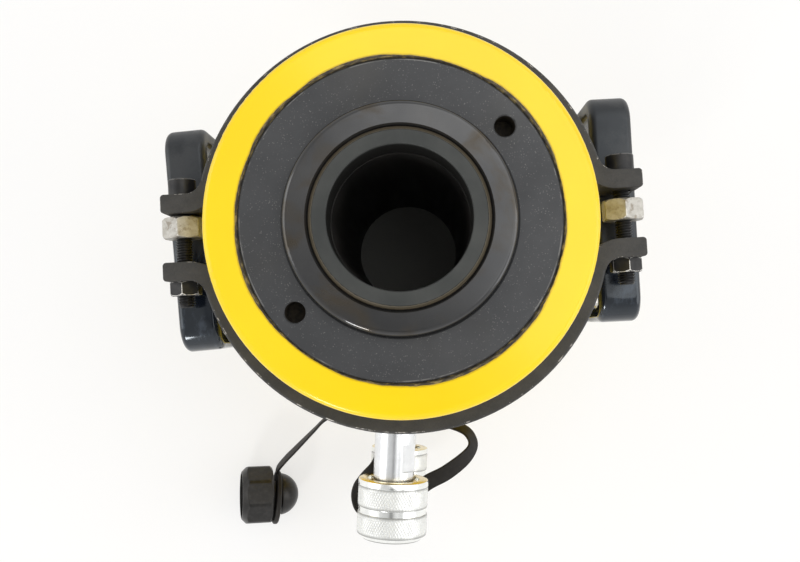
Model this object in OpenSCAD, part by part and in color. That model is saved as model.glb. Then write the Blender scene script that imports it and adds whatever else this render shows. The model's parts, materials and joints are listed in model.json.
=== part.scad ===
// Double-acting hollow plunger cylinder with carrying handles, two oil couplers and a tethered dust cap.
// Millimetres, +Z up. The origin is on the centre bore's axis, in the plane of the base.
// The couplers point along -Y. The plunger is drawn fully retracted.

/* [Barrel] */
// Outside diameter of the barrel
barrel_d = 212; // [190:1:234]
// Thickness of the barrel's wall round the piston
wall_t = 23.45; // [21:0.05:26]
// Thickness of the barrel's closed base
base_t = 30; // [28:1:40]
// Radius of the rounded outer edge at the barrel's mouth
rim_edge_r = 3.5; // [1.5:0.5:6]
// Distance of the holes in the base from the barrel's outside
base_hole_inset = 17.1; // [15:0.1:20]
// Diameter of the holes in the base
base_hole_d = 16; // [12:0.5:18]
// Depth of the holes in the base
base_hole_depth = 19; // [10:1:22]

/* [Plunger] */
// Travel of the plunger
stroke = 76; // [50:1:120]
// Width of the plunger's top face, round the saddle insert
plunger_wall = 13.7; // [12:0.1:16]
// Height of the plunger's piston head
piston_h = 45; // [42:1:60]
// How far the plunger stands above the barrel when retracted
plunger_rise = 9; // [6:0.5:20]
// Radius of the rounded edge at the plunger's top
plunger_edge_r = 3; // [1:0.5:4]

/* [Saddle insert] */
// Width of the saddle insert's top face, round the through hole
saddle_wall = 9.8; // [7:0.1:12]
// Height of the saddle insert
saddle_h = 25; // [18:1:40]

/* [Centre tube] */
// Thickness of the centre tube's wall
tube_wall = 12.3; // [11:0.1:13]

/* [Gland nut] */
// Length of the gland nut, from its stop face to the barrel's mouth
gland_l = 93; // [90:1:110]
// Step from the barrel's bore out to the gland nut's thread
gland_step = 3.75; // [3:0.05:5]
// Width of the gland nut's top face, round the plunger
gland_wall = 24.3; // [21:0.1:28]
// Diameter of a spanner hole
spanner_hole_d = 11.3; // [8:0.1:13]
// Depth of a spanner hole
spanner_hole_depth = 14; // [8:1:18]
// Direction of the spanner holes, from +X
spanner_angle = 43.9; // [0:0.1:180]

/* [Clamp] */
// Height of the clamp band
band_h = 30; // [24:1:36]
// Thickness of the clamp band
band_t = 10.7; // [9:0.1:12]
// Distance from the barrel's mouth down to the clamp band
band_drop = 28.5; // [24:0.5:32]
// Turn of the clamp about the barrel
clamp_angle = 5.3; // [0:0.1:12]
// How far the clamp's ears reach from the barrel's wall
ear_reach = 30; // [28:0.5:36]
// Gap between the two ears of a pair
ear_gap = 28; // [26:0.5:34]
// Radius of the bend between band and ear
ear_bend_r = 9; // [5:0.5:10]
// Thread diameter of the clamp bolts
bolt_d = 10; // [8:0.5:12]
// Distance of a clamp bolt from the barrel's wall
bolt_out = 21; // [20:0.5:23]
// Width across flats of the nut on a clamp bolt
nut_af = 16.4; // [15:0.2:17]
// Width across flats of the plated spacer nut
spacer_af = 21.6; // [19:0.2:22]
// Thickness of the plated spacer nut
spacer_t = 12; // [8:0.5:14]
// Gap between the rear ear and the spacer nut on the right
right_spacer_gap = 5; // [0.5:0.5:8]
// Gap between the rear ear and the spacer nut on the left
left_spacer_gap = 1.5; // [0.5:0.5:8]

/* [Handles] */
// Turn of the right handle about the barrel
right_handle_angle = 4.9; // [0:0.1:12]
// Turn of the left handle about the barrel
left_handle_angle = 7.8; // [0:0.1:12]
// How far the middle of a handle lies to the rear
handle_shift = 8.4; // [0:0.2:12]
// Length of a handle along the barrel's wall
handle_l = 137; // [120:1:145]
// Width of a handle's bar
handle_w = 24.5; // [20:0.5:28]
// Thickness of a handle's bar
handle_t = 12; // [10:0.5:14]
// Gap between the barrel and a handle's bar
handle_off = 9.3; // [6:0.1:14]
// Height of a handle
handle_h = 79; // [74:1:90]
// Inner radius of a handle's corners
handle_bend_r = 4; // [3:0.5:12]
// Thickness of the pad at a handle's foot
pad_t = 8; // [6:0.5:10]
// Height of the pad at a handle's foot
pad_h = 24; // [20:0.5:28]
// Thread diameter of the handle screws
handle_screw_d = 10; // [8:0.5:12]

/* [Couplers] */
// Height of the lower port above the base's floor
port_rise = 8; // [7:0.5:10]
// Diameter of a coupler's neck
neck_d = 24.6; // [22:0.2:26]
// Length of a coupler's neck, from the barrel's wall to the collar
neck_l = 43.4; // [42:0.2:50]
// Diameter of a coupler's collar
collar_d = 42.5; // [40:0.5:44]
// Length of a coupler's collar
collar_l = 35.3; // [34:0.1:40]
// Diameter of a collar's threaded mouth
mouth_d = 33; // [32:0.2:35]
// Depth of a collar's threaded mouth
mouth_depth = 12.7; // [10:0.1:14]
// Travel of a coupler's poppet valve
poppet_travel = 3; // [2:0.5:4]

/* [Dust cap] */
// Width across flats of the cap's cup
cap_af = 42.5; // [41:0.5:44]
// Length of the cap's cup
cap_l = 23.5; // [20:0.5:28]
// Diameter of the cap's knob
knob_d = 32; // [28:0.5:34]
// Width of the strap
strap_w = 10; // [8:0.5:11]
// Thickness of the strap
strap_t = 1.6; // [1.2:0.1:2]

/* [Hidden] */
$fn = 96;
eps = 0.01;

// Clearances
static_gap = 0.1;
running_gap = 0.3;
seal_gap = 0.05;
journal_gap = 0.08;
thread_gap = 0.2;
loop_gap = 0.25;

// Heights of the main stack
foot_gap = 1;
piston_low = base_t + foot_gap;
piston_top = piston_low + piston_h;
gland_low = piston_top + stroke;
barrel_h = gland_low + gland_l;
plunger_top = barrel_h + plunger_rise;
saddle_low = plunger_top - saddle_h;
saddle_ledge_t = 2;
tube_h = saddle_low - saddle_ledge_t - foot_gap;

// Radii of the main stack, from the outside in
barrel_r = barrel_d / 2;
bore_r = barrel_r - wall_t;
gland_r = bore_r + gland_step;
rod_r = gland_r - gland_wall;
saddle_r = rod_r - plunger_wall;
hole_r = saddle_r - saddle_wall;
tube_r = hole_r + tube_wall;
base_hole_at = barrel_r - base_hole_inset;
saddle_chamfer = 2.2;
saddle_edge = 0.5;
socket_r = saddle_r + thread_gap;
ledge_r = saddle_r - 3;
plunger_bore_r = tube_r + running_gap;
piston_r = bore_r - running_gap;
piston_foot_r = bore_r - 3.5;
piston_seat_r = rod_r - 2;
piston_foot_h = 12;

// Gland nut
gland_rise = 0.3;
gland_seat_r = gland_r + thread_gap;
gland_pilot_r = bore_r - static_gap;
gland_thread_l = 55;
gland_pilot_l = 12;
gland_pilot_top = barrel_h - gland_thread_l;
gland_pilot_low = gland_pilot_top - gland_pilot_l;
gland_skirt_r = bore_r - 4.5;
gland_bore_r = rod_r + running_gap;
gland_lip_r = rod_r + 0.6;
gland_lip_t = 2.5;
gland_edge = 0.8;
mouth_chamfer = 0.8;
spanner_at = (gland_r + rod_r) / 2;
spanner_edge = 0.6;
spanner_hole_r = spanner_hole_d / 2;

// Grooves and rings: section depth, section height
ring_depth = 5;
seal_h = 7;
bearing_h = 10;
o_ring_d = 4;
o_ring_room = 1.4;
wiper_top = barrel_h + gland_rise - gland_lip_t;
wiper_low = wiper_top - seal_h;
rod_seal_low = wiper_low - 12 - seal_h;
gland_bearing_low = rod_seal_low - 12 - bearing_h;
gland_o_ring_z = gland_pilot_low + gland_pilot_l / 2;
piston_bearing_low = piston_low + piston_foot_h + 3;
piston_seal_low = piston_top - 4 - seal_h;
inner_bearing_low = piston_low + 6;
inner_seal_low = piston_top - 12 - seal_h;
retainer_r = tube_r + 7;
retainer_h = 8;
tube_o_ring_z = retainer_h + (base_t - retainer_h) / 2;

// Ports and couplers
lower_port_z = base_t + port_rise;
upper_port_z = gland_low + 17;
port_thread_r = 8.5;
port_thread_l = 14;
oil_r = 4;
neck_r = neck_d / 2;
spot_depth = 1.5;
neck_foot = barrel_r - spot_depth;
collar_rear = barrel_r + neck_l;
collar_front = collar_rear + collar_l;
collar_r = collar_d / 2;
mouth_r = mouth_d / 2;
flat_from = neck_l - 21.4;
flat_l = 16.5;
flat_r = 0.84 * neck_r;
flat_turn = 57;
rear_land_l = 3.8;
groove_l = 4.1;
groove_depth = 0.7;
front_chamfer = 3;
knurl_l = (collar_l - rear_land_l - groove_l - front_chamfer) / 2;
groove_from = collar_rear + rear_land_l + knurl_l;
clip_t = 1.5;
clip_depth = 0.9;
clip_out = 1.6;
clip_gap = 4;
recess_depth = 3;
recess_r = neck_r + 3.4;
clip_front = collar_rear + recess_depth - running_gap;
clip_rear = clip_front - clip_t;
rib_l = 5.7;
rib_rear = collar_rear + recess_depth;
rib_front = rib_rear + rib_l;
rib_r = neck_r + journal_gap;
flange_rear = rib_front + running_gap;
flange_l = 4;
flange_r = mouth_r - 0.7;
relief_r = mouth_r + 0.7;
mouth_rear = collar_front - mouth_depth;
nose_front = mouth_rear - 0.5;
nose_r = 10;
seat_hole_r = 4.6;
seat_t = 2;
poppet_r = 5.4;
poppet_l = 8;
poppet_bore_r = poppet_r + journal_gap;
poppet_tip_r = seat_hole_r - running_gap;
poppet_tip_l = 1.2;
poppet_front = nose_front - seat_t - foot_gap / 10;
poppet_rear = poppet_front - poppet_l;
spring_wire = 1.2;
spring_turns = 4;
spring_slack = 1.2;
spring_r = poppet_r - spring_wire;
spring_room = poppet_travel + spring_turns * spring_wire + spring_slack;
spring_seat = poppet_rear - spring_room;

// Clamp, in a frame whose X runs through the middle of the ears
band_in_r = barrel_r + static_gap;
band_out_r = band_in_r + band_t;
band_top = barrel_h - band_drop;
band_low = band_top - band_h;
band_edge = 1;
ear_x = barrel_r + ear_reach;
ear_in = ear_gap / 2;
ear_out = ear_in + band_t;
ear_edge_r = 2;
spot_t = 0.4;
ear_face = ear_out - spot_t;
bolt_x = barrel_r + bolt_out;
bolt_z = band_low + band_h / 2;
bolt_hole_r = bolt_d / 2 + 0.25;
bolt_r = bolt_d / 2 - static_gap;
bolt_head_r = 0.8 * bolt_d;
bolt_head_h = 1.08 * bolt_d;
bolt_edge = 0.6;
bolt_tail = 7;
nut_t = 8.4;
nut_turn = 30;
spacer_turn = 27;
nut_bore_r = bolt_d / 2 + static_gap;
hex_af = 0.8 * bolt_d;
spot_r = nut_af / 2 / cos(30) + 0.8;

// Handles, each in a frame whose X runs out through its side of the barrel
handle_in_x = barrel_r + handle_off;
handle_mid_x = handle_in_x + handle_w / 2;
handle_top = band_low - 2.5;
handle_low = handle_top - handle_h;
handle_round = 4;
handle_bend_out = handle_bend_r + handle_t;
handle_leg_y = handle_l / 2 - handle_t / 2;
leg_lift = 2;
web_t = handle_t - 2;
pad_in_r = barrel_r + static_gap;
pad_out_r = pad_in_r + pad_t;
pad_span = 27;
pad_screw_at = 18;
pad_spot = 1;
pad_face = pad_out_r - pad_spot;
handle_screw_z = handle_low + pad_h / 2;
handle_screw_r = handle_screw_d / 2;
handle_head_r = 0.8 * handle_screw_d;
handle_head_h = 0.6 * handle_screw_d;
handle_thread_l = 15;

// Dust cap, in a frame whose X runs along the cap, from the open end to the knob
cap_z = 21.3;
cap_pos = [-98.6, -barrel_r - 87.2, cap_z];
cap_turn = [0, 16, 2];
cap_sides = 8;
cap_side_turn = 13.7;
cap_flat_r = cap_af / 2;
cap_round_r = 1.055 * cap_flat_r;
cap_wall = 4.5;
cap_floor = 4;
cap_mouth_ease = 4.6;
cap_end_ease = 2.2;
cap_neck_r = 10;
cap_neck_l = 6.9;
cap_loop_l = 4;
cap_loop_in_r = cap_neck_r + 2.8;
cap_loop_r = 20.3;
cap_loop_at = [3.6, -2.5, 0];
cap_loop_turn = -4;
knob_r = knob_d / 2;
knob_x = 4.6;
strap_loop_t = 2.6;
strap_loop_w = strap_w;
strap_loop_x = barrel_r + 3;

// Route of the strap: x, distance out from the barrel's wall, share of the way up from the cap to the
// upper port, and the roll of the strap's width about the route
strap_route = [
    [4, 8, 0.898, 0],
    [2, 15, 0.892, 0],
    [-2.5, 23, 0.885, 4],
    [-7, 31.9, 0.878, 12],
    [-11.4, 40.5, 0.868, 22],
    [-17.5, 47.5, 0.851, 32],
    [-22, 54.2, 0.831, 38],
    [-23.2, 61, 0.814, 40],
    [-20.8, 68, 0.800, 36],
    [-14.2, 72, 0.790, 26],
    [-3.8, 70.4, 0.783, 14],
    [8.1, 61.9, 0.777, 5],
    [20.8, 51.7, 0.773, 0],
    [32.8, 45, 0.763, -6],
    [44.2, 36.2, 0.743, -24],
    [49.6, 29.6, 0.712, -46],
    [49.2, 23.6, 0.678, -56],
    [44.1, 18.8, 0.641, -60],
    [33, 16, 0.594, -62],
    [17, 15, 0.533, -63],
    [0, 15, 0.472, -63],
    [-18, 15.5, 0.404, -63],
    [-36, 16.5, 0.336, -62],
    [-48, 19, 0.292, -60],
    [-56, 23.6, 0.248, -60],
    [-64, 32.2, 0.198, -60],
    [-72, 41, 0.150, -61],
    [-80, 49.8, 0.103, -64],
    [-88, 58.6, 0.052, -72],
    [-94.2, 66.8, 0.008, -84],
    [-95.8, 73.5, -0.009, -88]
];
strap_steps = 3;

// A ring of rectangular section about Z
module ring(r_in, r_out, low, high)
{
    translate([0, 0, low])
        rotate_extrude()
            translate([r_in, 0])
                square([r_out - r_in, high - low]);
}

// A ring of round section about Z
module o_ring(r_mid, z)
{
    translate([0, 0, z])
        rotate_extrude()
            translate([r_mid, 0])
                circle(d = o_ring_d, $fn = 32);
}

// A solid turned about X from points of [x, r]
module turned_x(points)
{
    rotate([0, 90, 0])
        rotate_extrude()
            polygon([for (p = points) [p[1], p[0]]]);
}

// Turns a piece that is drawn along +X to the couplers' side, at a port's height
module at_port(z)
{
    translate([0, 0, z])
        rotate([0, 0, -90])
            children();
}

// Turns a handle's piece that is drawn on the right (1) to its place, or over to the left (-1)
module at_handle(side)
{
    rotate([0, 0, side > 0 ? right_handle_angle : left_handle_angle + 180])
        children();
}

// A radial drilling through the barrel's wall at a port
module port_cut(z)
{
    at_port(z) {
        translate([neck_foot, 0, 0])
            rotate([0, 90, 0])
                cylinder(r = neck_r + 1, h = barrel_r);
        translate([neck_foot - port_thread_l, 0, 0])
            rotate([0, 90, 0])
                cylinder(r = port_thread_r + thread_gap, h = barrel_r);
        translate([bore_r - 6, 0, 0])
            rotate([0, 90, 0])
                cylinder(r = oil_r, h = barrel_r);
    }
}

module cylinder_body()
{
    color("gold")
        difference() {
            rotate_extrude() {
                difference() {
                    square([barrel_r, barrel_h]);
                    translate([barrel_r - rim_edge_r, barrel_h - rim_edge_r])
                        square(rim_edge_r + eps);
                }
                translate([barrel_r - rim_edge_r, barrel_h - rim_edge_r])
                    circle(r = rim_edge_r);
            }
            translate([0, 0, base_t])
                cylinder(r = bore_r, h = barrel_h);
            translate([0, 0, gland_pilot_top])
                cylinder(r = gland_seat_r, h = barrel_h);
            translate([0, 0, barrel_h - mouth_chamfer])
                cylinder(
                    r1 = gland_seat_r,
                    r2 = gland_seat_r + mouth_chamfer + eps,
                    h = mouth_chamfer + eps
                );
            translate([0, 0, -eps])
                cylinder(r = tube_r + static_gap, h = base_t + 2 * eps);
            translate([0, 0, -eps])
                cylinder(r = retainer_r + static_gap, h = retainer_h + eps);
            port_cut(lower_port_z);
            port_cut(upper_port_z);
            for (i = [0:3])
                rotate([0, 0, 45 + 90 * i])
                    translate([base_hole_at, 0, -eps])
                        cylinder(d = base_hole_d, h = base_hole_depth + eps);
            for (side = [-1, 1])
                at_handle_screws(side)
                    translate([0, 0, barrel_r - handle_thread_l])
                        cylinder(r = handle_screw_r + thread_gap, h = barrel_r);
        }
}

module center_tube()
{
    color("dimgray")
        difference() {
            cylinder(r = tube_r, h = tube_h);
            translate([0, 0, -eps])
                cylinder(r = hole_r, h = tube_h + 2 * eps);
            ring(
                tube_r - o_ring_d - static_gap / 2,
                tube_r + 1,
                tube_o_ring_z - o_ring_room * o_ring_d / 2,
                tube_o_ring_z + o_ring_room * o_ring_d / 2
            );
        }
}

// The lock ring that holds the centre tube in the base
module tube_retainer()
{
    color("dimgray")
        ring(tube_r + thread_gap, retainer_r, 0, retainer_h);
}

module tube_o_ring()
{
    color("black")
        o_ring(tube_r - o_ring_d / 2 + static_gap / 2, tube_o_ring_z);
}

module plunger()
{
    color("slategray")
        difference() {
            rotate_extrude() {
                translate([0, piston_low])
                    square([piston_seat_r, plunger_top - plunger_edge_r - piston_low]);
                translate([0, piston_top])
                    square([rod_r, plunger_top - plunger_edge_r - piston_top]);
                translate([0, piston_top])
                    square([rod_r - plunger_edge_r, plunger_top - piston_top]);
                translate([rod_r - plunger_edge_r, plunger_top - plunger_edge_r])
                    circle(r = plunger_edge_r);
            }
            cylinder(r = plunger_bore_r, h = saddle_low - saddle_ledge_t);
            cylinder(r = ledge_r, h = plunger_top + 1);
            translate([0, 0, saddle_low])
                cylinder(r = socket_r, h = saddle_h + 1);
            translate([0, 0, plunger_top - saddle_chamfer])
                cylinder(r1 = socket_r, r2 = socket_r + saddle_chamfer / 2, h = saddle_chamfer + eps);
            ring(tube_r, plunger_bore_r + ring_depth, inner_seal_low, inner_seal_low + seal_h);
            ring(tube_r, plunger_bore_r + ring_depth, inner_bearing_low, inner_bearing_low + bearing_h);
        }
}

// The piston head, screwed on the plunger's foot up to a shoulder
module piston_head()
{
    color("slategray")
        difference() {
            rotate_extrude()
                polygon([
                    [piston_seat_r + thread_gap, piston_low],
                    [piston_foot_r, piston_low],
                    [piston_foot_r, piston_low + piston_foot_h],
                    [piston_r, piston_low + piston_foot_h],
                    [piston_r, piston_top],
                    [piston_seat_r + thread_gap, piston_top]
                ]);
            ring(piston_r - ring_depth, bore_r, piston_seal_low, piston_seal_low + seal_h);
            ring(piston_r - ring_depth, bore_r, piston_bearing_low, piston_bearing_low + bearing_h);
        }
}

module saddle_insert()
{
    color("darkslategray")
        translate([0, 0, saddle_low])
            rotate_extrude()
                polygon([
                    [hole_r, 0],
                    [saddle_r, 0],
                    [saddle_r, saddle_h - saddle_chamfer],
                    [saddle_r - saddle_chamfer, saddle_h],
                    [hole_r + saddle_edge, saddle_h],
                    [hole_r, saddle_h - saddle_edge]
                ]);
}

// A ring in a groove on the piston's outside
module piston_ring(low, h)
{
    ring(piston_r - ring_depth + static_gap, bore_r - seal_gap, low, low + h - static_gap);
}

// A ring in a groove in the plunger's bore
module inner_ring(low, h)
{
    ring(tube_r + seal_gap, plunger_bore_r + ring_depth - static_gap, low, low + h - static_gap);
}

// A ring in a groove in the gland nut's bore
module rod_ring(low, h)
{
    ring(rod_r + seal_gap, gland_bore_r + ring_depth - static_gap, low, low + h - static_gap);
}

module piston_seal()
{
    color("dimgray")
        piston_ring(piston_seal_low, seal_h);
}

module piston_bearing()
{
    color("peru")
        piston_ring(piston_bearing_low, bearing_h);
}

module inner_seal()
{
    color("dimgray")
        inner_ring(inner_seal_low, seal_h);
}

module inner_bearing()
{
    color("peru")
        inner_ring(inner_bearing_low, bearing_h);
}

module gland_nut()
{
    color("dimgray")
        difference() {
            rotate_extrude()
                polygon([
                    [gland_bore_r, gland_low],
                    [gland_skirt_r, gland_low],
                    [gland_skirt_r, gland_pilot_low],
                    [gland_pilot_r, gland_pilot_low],
                    [gland_pilot_r, gland_pilot_top],
                    [gland_r, gland_pilot_top],
                    [gland_r, barrel_h + gland_rise - gland_edge],
                    [gland_r - gland_edge, barrel_h + gland_rise],
                    [gland_lip_r + gland_edge, barrel_h + gland_rise],
                    [gland_lip_r, barrel_h + gland_rise - gland_edge],
                    [gland_lip_r, wiper_top],
                    [gland_bore_r, wiper_top]
                ]);
            for (low = [wiper_low, rod_seal_low])
                ring(rod_r, gland_bore_r + ring_depth, low, low + seal_h);
            ring(rod_r, gland_bore_r + ring_depth, gland_bearing_low, gland_bearing_low + bearing_h);
            ring(
                gland_pilot_r - o_ring_d - static_gap / 2,
                gland_pilot_r + 1,
                gland_o_ring_z - o_ring_room * o_ring_d / 2,
                gland_o_ring_z + o_ring_room * o_ring_d / 2
            );
            for (turn = [0, 180])
                rotate([0, 0, spanner_angle + turn])
                    translate([spanner_at, 0, barrel_h + gland_rise]) {
                        translate([0, 0, -spanner_hole_depth])
                            cylinder(r = spanner_hole_r, h = spanner_hole_depth + 1);
                        translate([0, 0, -spanner_edge])
                            cylinder(
                                r1 = spanner_hole_r,
                                r2 = spanner_hole_r + 2 * spanner_edge,
                                h = 2 * spanner_edge
                            );
                    }
        }
}

module gland_o_ring()
{
    color("black")
        o_ring(gland_pilot_r - o_ring_d / 2 + static_gap / 2, gland_o_ring_z);
}

module rod_seal()
{
    color("dimgray")
        rod_ring(rod_seal_low, seal_h);
}

module gland_bearing()
{
    color("peru")
        rod_ring(gland_bearing_low, bearing_h);
}

module wiper_ring()
{
    color("black")
        rod_ring(wiper_low, seal_h);
}

// Plan of one half of the clamp band, on the +Y side: a half ring that bends out into an ear at each end
module clamp_plan()
{
    bend_y = ear_out + ear_bend_r;
    bend_at = [sqrt(pow(band_out_r + ear_bend_r, 2) - bend_y * bend_y), bend_y];
    outer_touch = bend_at * band_out_r / norm(bend_at);
    inner_touch = bend_at * band_in_r / norm(bend_at);
    inner_corner = [sqrt(band_in_r * band_in_r - ear_in * ear_in), ear_in];
    difference() {
        union() {
            intersection() {
                circle(r = band_out_r, $fn = 256);
                translate([-ear_x, ear_in])
                    square([2 * ear_x, band_out_r]);
            }
            for (side = [0, 1])
                mirror([side, 0]) {
                    translate([0, ear_in])
                        square([ear_x - ear_edge_r, band_t]);
                    translate([0, ear_in + ear_edge_r])
                        square([ear_x, band_t - 2 * ear_edge_r]);
                    for (y = [ear_in + ear_edge_r, ear_out - ear_edge_r])
                        translate([ear_x - ear_edge_r, y])
                            circle(r = ear_edge_r);
                    difference() {
                        polygon([
                            [0, ear_in],
                            [bend_at[0], ear_in],
                            [bend_at[0], ear_out],
                            outer_touch
                        ]);
                        translate(bend_at)
                            circle(r = ear_bend_r);
                    }
                }
        }
        circle(r = band_in_r, $fn = 256);
        for (side = [0, 1])
            mirror([side, 0])
                difference() {
                    polygon([
                        inner_touch,
                        inner_corner - [1, 0],
                        inner_corner - [1, 1],
                        [bend_at[0], ear_in - 1],
                        [bend_at[0], ear_in],
                        bend_at
                    ]);
                    translate(bend_at)
                        circle(r = ear_bend_r + band_t);
                }
    }
}

// One half of the clamp, with bolt holes, spot faces for the bolts and eased edges
module clamp_half()
{
    ease_from = asin((ear_out + ear_bend_r) / (band_out_r + ear_bend_r));
    difference() {
        translate([0, 0, band_low])
            linear_extrude(band_h)
                clamp_plan();
        for (side = [-1, 1])
            translate([side * bolt_x, 0, bolt_z])
                rotate([-90, 0, 0]) {
                    cylinder(r = bolt_hole_r, h = ear_out + ear_x);
                    translate([0, 0, ear_face])
                        cylinder(r = spot_r, h = ear_bend_r);
                }
        for (edge = [[band_top, -1], [band_low, 1]])
            rotate([0, 0, ease_from])
                rotate_extrude(angle = 180 - 2 * ease_from)
                    polygon([
                        [band_out_r - band_edge, edge[0]],
                        [band_out_r + 1, edge[0] - edge[1]],
                        [band_out_r + 1, edge[0] + edge[1] * band_edge],
                        [band_out_r, edge[0] + edge[1] * band_edge]
                    ]);
    }
}

module clamp_half_rear()
{
    color("dimgray")
        rotate([0, 0, clamp_angle])
            clamp_half();
}

module clamp_half_front()
{
    color("dimgray")
        rotate([0, 0, clamp_angle])
            mirror([0, 1, 0])
                clamp_half();
}

// Places what sits on the clamp bolt on the right (1) or the left (-1), drawn along Z with its head to the rear
module at_bolt(side)
{
    rotate([0, 0, clamp_angle])
        translate([side * bolt_x, 0, bolt_z])
            rotate([-90, 0, 0])
                children();
}

module clamp_bolts()
{
    color("black")
        for (side = [-1, 1])
            at_bolt(side)
                difference() {
                    union() {
                        translate([0, 0, ear_face])
                            cylinder(r = bolt_head_r, h = bolt_head_h - bolt_edge);
                        translate([0, 0, ear_face + bolt_head_h - bolt_edge])
                            cylinder(r1 = bolt_head_r, r2 = bolt_head_r - bolt_edge, h = bolt_edge);
                        translate([0, 0, -ear_face - nut_t - bolt_tail])
                            cylinder(r = bolt_r, h = 2 * ear_face + nut_t + bolt_tail);
                    }
                    translate([0, 0, ear_face + bolt_head_h / 2])
                        cylinder(d = hex_af / cos(30), h = bolt_head_h, $fn = 6);
                }
}

// A hexagon nut that starts at z = 0, with both rims turned down
module hex_nut(af, t)
{
    corner_r = af / 2 / cos(30);
    difference() {
        intersection() {
            cylinder(r = corner_r, h = t, $fn = 6);
            rotate_extrude()
                polygon([
                    [0, 0],
                    [af / 2, 0],
                    [corner_r, 0.12 * t],
                    [corner_r, 0.88 * t],
                    [af / 2, t],
                    [0, t]
                ]);
        }
        translate([0, 0, -eps])
            cylinder(r = nut_bore_r, h = t + 2 * eps);
    }
}

module clamp_nuts()
{
    color("black")
        for (side = [-1, 1])
            at_bolt(side)
                translate([0, 0, -ear_face - nut_t])
                    rotate([0, 0, nut_turn])
                        hex_nut(nut_af, nut_t);
}

module spacer_nuts()
{
    color("beige")
        for (place = [[1, right_spacer_gap], [-1, left_spacer_gap]])
            at_bolt(place[0])
                translate([0, 0, ear_in - place[1] - spacer_t])
                    rotate([0, 0, spacer_turn])
                        hex_nut(spacer_af, spacer_t);
}

// Section of a handle's bar: its width along X, its thickness along Y
module handle_section()
{
    flat_w = handle_w - 2 * handle_round;
    flat_t = handle_t - 2 * handle_round;
    translate([-handle_w / 2, -flat_t / 2])
        square([handle_w, flat_t]);
    translate([-flat_w / 2, -handle_t / 2])
        square([flat_w, handle_t]);
    for (x = [-flat_w / 2, flat_w / 2], y = [-flat_t / 2, flat_t / 2])
        translate([x, y])
            circle(r = handle_round, $fn = 48);
}

// Direction, seen from the barrel's axis, of the foot of a leg that stands at y
function foot_angle(y) = asin(y / pad_out_r);

// The middle of a handle on the right (1) or the left (-1), along its own Y
function handle_mid_y(side) = side * handle_shift;

// Places what sits on the two screws of a handle, drawn along +X from the barrel's axis
module at_handle_screws(side)
{
    at_handle(side)
        for (end = [-1, 1])
            translate([0, 0, handle_screw_z])
                rotate([0, 0, foot_angle(handle_mid_y(side) + end * handle_leg_y) - end * pad_screw_at])
                    rotate([0, 90, 0])
                        children();
}

// The bow of a handle: crown, two bends and two legs
module handle_bow()
{
    crown_y = handle_l / 2 - handle_bend_out;
    bend_z = handle_top - handle_bend_out;
    translate([handle_mid_x, crown_y, handle_top - handle_t / 2])
        rotate([90, 0, 0])
            linear_extrude(2 * crown_y)
                handle_section();
    for (end = [-1, 1]) {
        translate([handle_mid_x, end * handle_leg_y, handle_low + leg_lift])
            linear_extrude(bend_z - handle_low - leg_lift)
                handle_section();
        translate([handle_mid_x, end * crown_y, bend_z])
            rotate([90, 0, 90])
                rotate([0, 0, end > 0 ? 0 : 90])
                    rotate_extrude(angle = 90)
                        translate([handle_bend_r + handle_t / 2, 0])
                            rotate([0, 0, 90])
                                handle_section();
    }
}

// Plan of the foot of a leg that stands at y: a web in to the barrel and a curved pad that takes the screw
module handle_foot_plan(y, end)
{
    near = foot_angle(y);
    far = near - end * pad_span;
    reach = 2 * pad_out_r;
    translate([0, y - web_t / 2])
        square([handle_mid_x, web_t]);
    intersection() {
        circle(r = pad_out_r, $fn = 256);
        polygon([[0, 0], reach * [cos(near), sin(near)], reach * [cos(far), sin(far)]]);
    }
}

// One handle, screwed to the barrel under the clamp's ears
module handle(side)
{
    difference() {
        at_handle(side) {
            translate([0, handle_mid_y(side), 0])
                handle_bow();
            translate([0, 0, handle_low])
                linear_extrude(pad_h)
                    difference() {
                        for (end = [-1, 1])
                            handle_foot_plan(handle_mid_y(side) + end * handle_leg_y, end);
                        circle(r = pad_in_r, $fn = 256);
                    }
        }
        at_handle_screws(side) {
            cylinder(r = handle_screw_r + thread_gap, h = pad_out_r + pad_t);
            translate([0, 0, pad_face])
                cylinder(r = handle_head_r + running_gap, h = handle_head_h + pad_spot);
        }
    }
}

module handle_left()
{
    color("black")
        handle(-1);
}

module handle_right()
{
    color("black")
        handle(1);
}

module handle_screws()
{
    color("black")
        for (side = [-1, 1])
            at_handle_screws(side)
                difference() {
                    union() {
                        translate([0, 0, pad_face])
                            cylinder(r = handle_head_r, h = handle_head_h);
                        translate([0, 0, barrel_r - handle_thread_l + 1])
                            cylinder(r = handle_screw_r, h = pad_face - barrel_r + handle_thread_l);
                    }
                    translate([0, 0, pad_face + handle_head_h / 2])
                        cylinder(d = 0.8 * handle_screw_d / cos(30), h = handle_head_h, $fn = 6);
                }
}

// A coupler's body along +X: thread, neck with wrench flats, journal for the collar, flange and nose
module coupler_body()
{
    difference() {
        turned_x([
            [neck_foot - port_thread_l + 1, oil_r],
            [neck_foot - port_thread_l + 1, port_thread_r],
            [neck_foot, port_thread_r],
            [neck_foot, neck_r - band_edge],
            [neck_foot + band_edge, neck_r],
            [clip_rear, neck_r],
            [clip_rear, neck_r - clip_depth],
            [clip_front, neck_r - clip_depth],
            [clip_front, neck_r],
            [flange_rear, neck_r],
            [flange_rear, flange_r],
            [flange_rear + flange_l, flange_r],
            [flange_rear + flange_l, nose_r],
            [nose_front, nose_r],
            [nose_front, seat_hole_r],
            [nose_front - seat_t, seat_hole_r],
            [nose_front - seat_t, poppet_bore_r],
            [spring_seat, poppet_bore_r],
            [spring_seat, oil_r]
        ]);
        for (turn = [0, 180])
            rotate([turn - flat_turn, 0, 0])
                translate([barrel_r + flat_from, -neck_r, flat_r])
                    cube([flat_l, 2 * neck_r, neck_r]);
    }
}

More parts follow.
